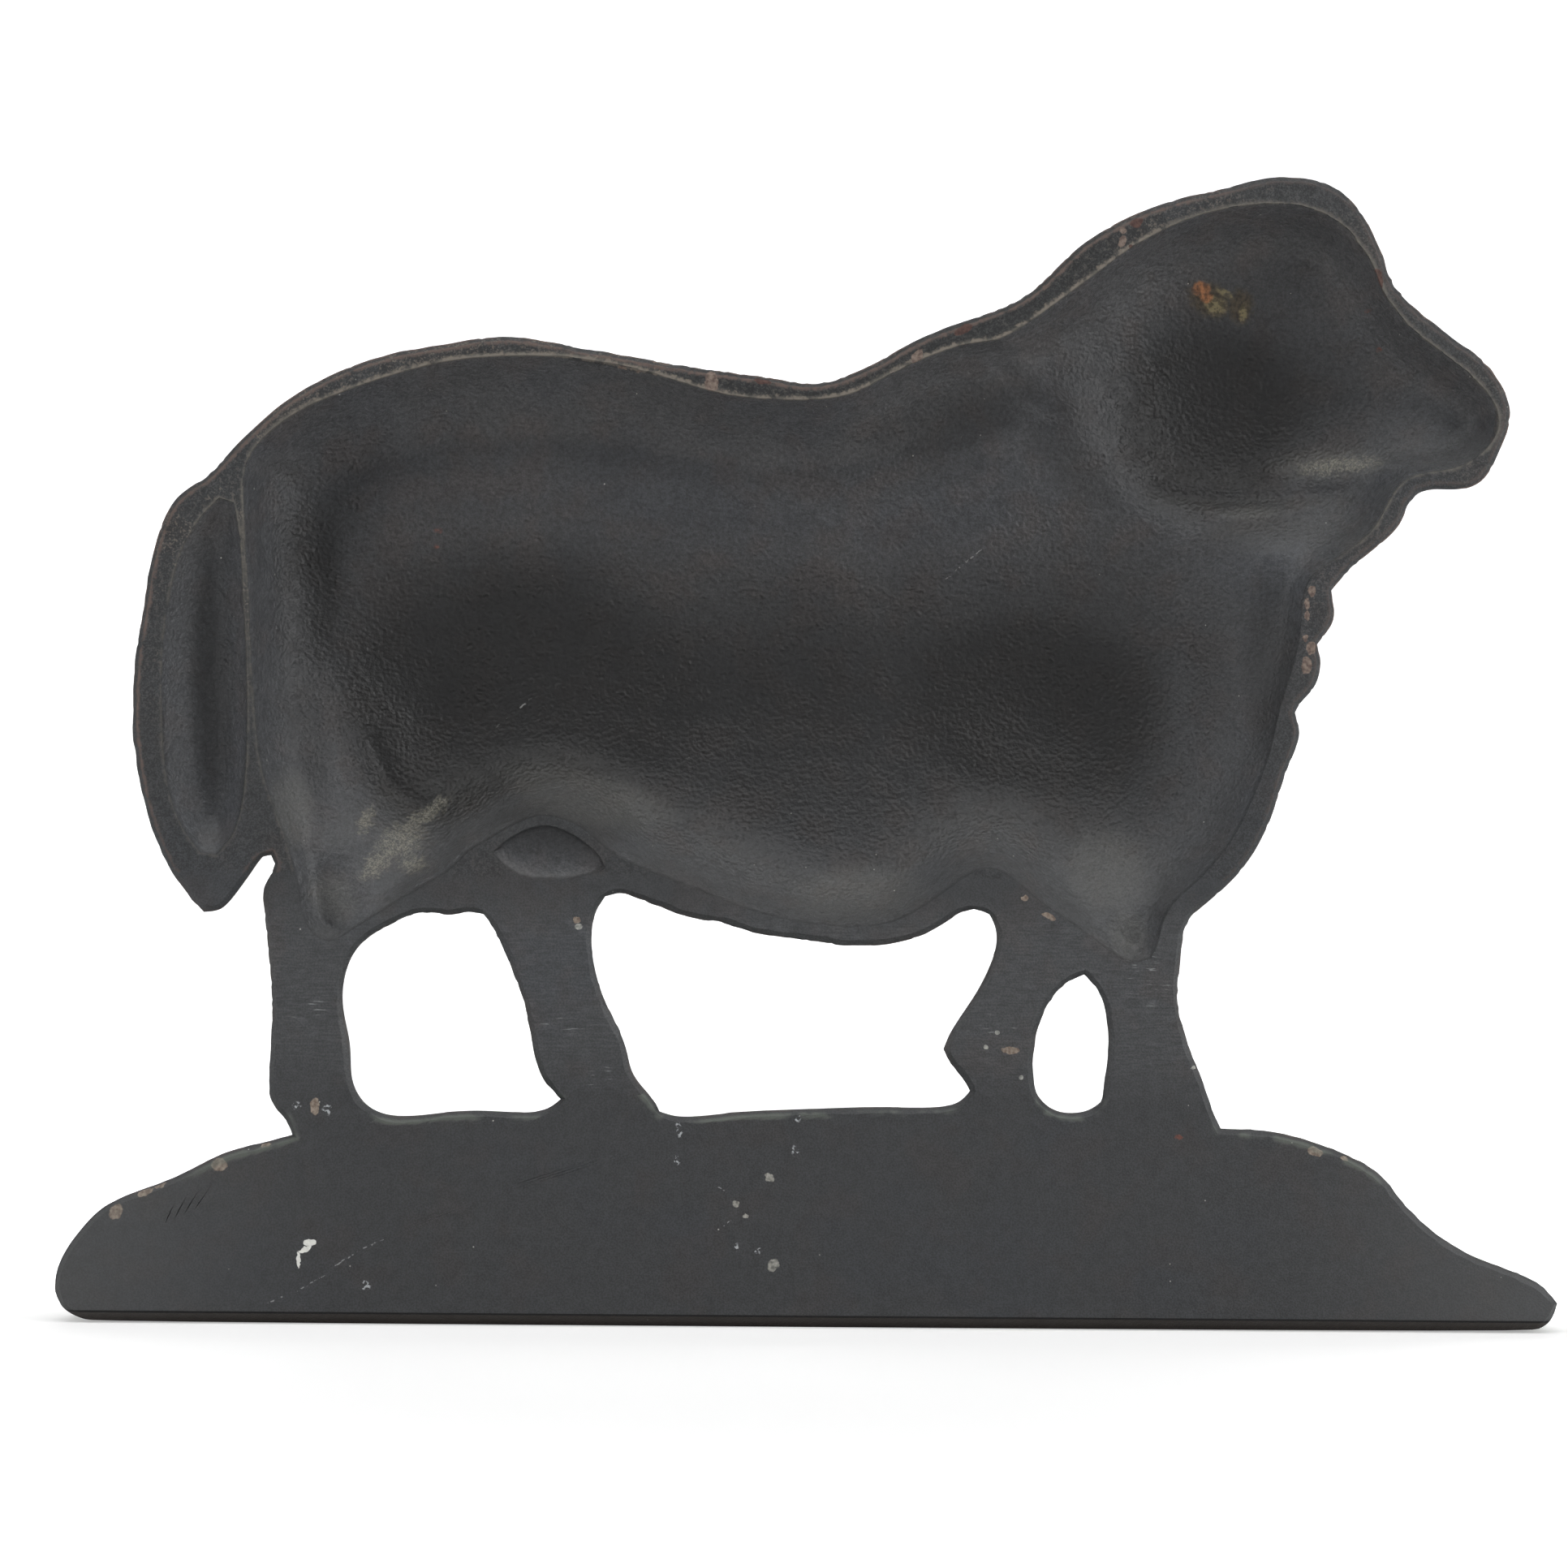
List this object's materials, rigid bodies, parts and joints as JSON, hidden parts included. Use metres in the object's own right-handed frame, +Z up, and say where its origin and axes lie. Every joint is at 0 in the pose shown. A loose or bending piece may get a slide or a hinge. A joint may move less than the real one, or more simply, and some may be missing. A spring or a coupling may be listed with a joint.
{
  "type": "cast iron doorstop",
  "caption": "Flat-backed sheep doorstop cast in one piece of iron, with a hollow back, standing legs and a mound that forms its foot.",
  "frame": {"origin": "on the floor, under the middle of the casting's length and depth", "axes": "+X towards the animal's head, +Y towards its modelled front, +Z up; the flat back faces -Y"},
  "size_m": [0.24, 0.044, 0.1843],
  "materials": {
    "casting": "satin black overpaint on a sand-cast skin, with old white, black and green paint on the front"
  },
  "bodies": {
    "root": {"sheep_casting": "casting"}
  },
  "joints": []
}
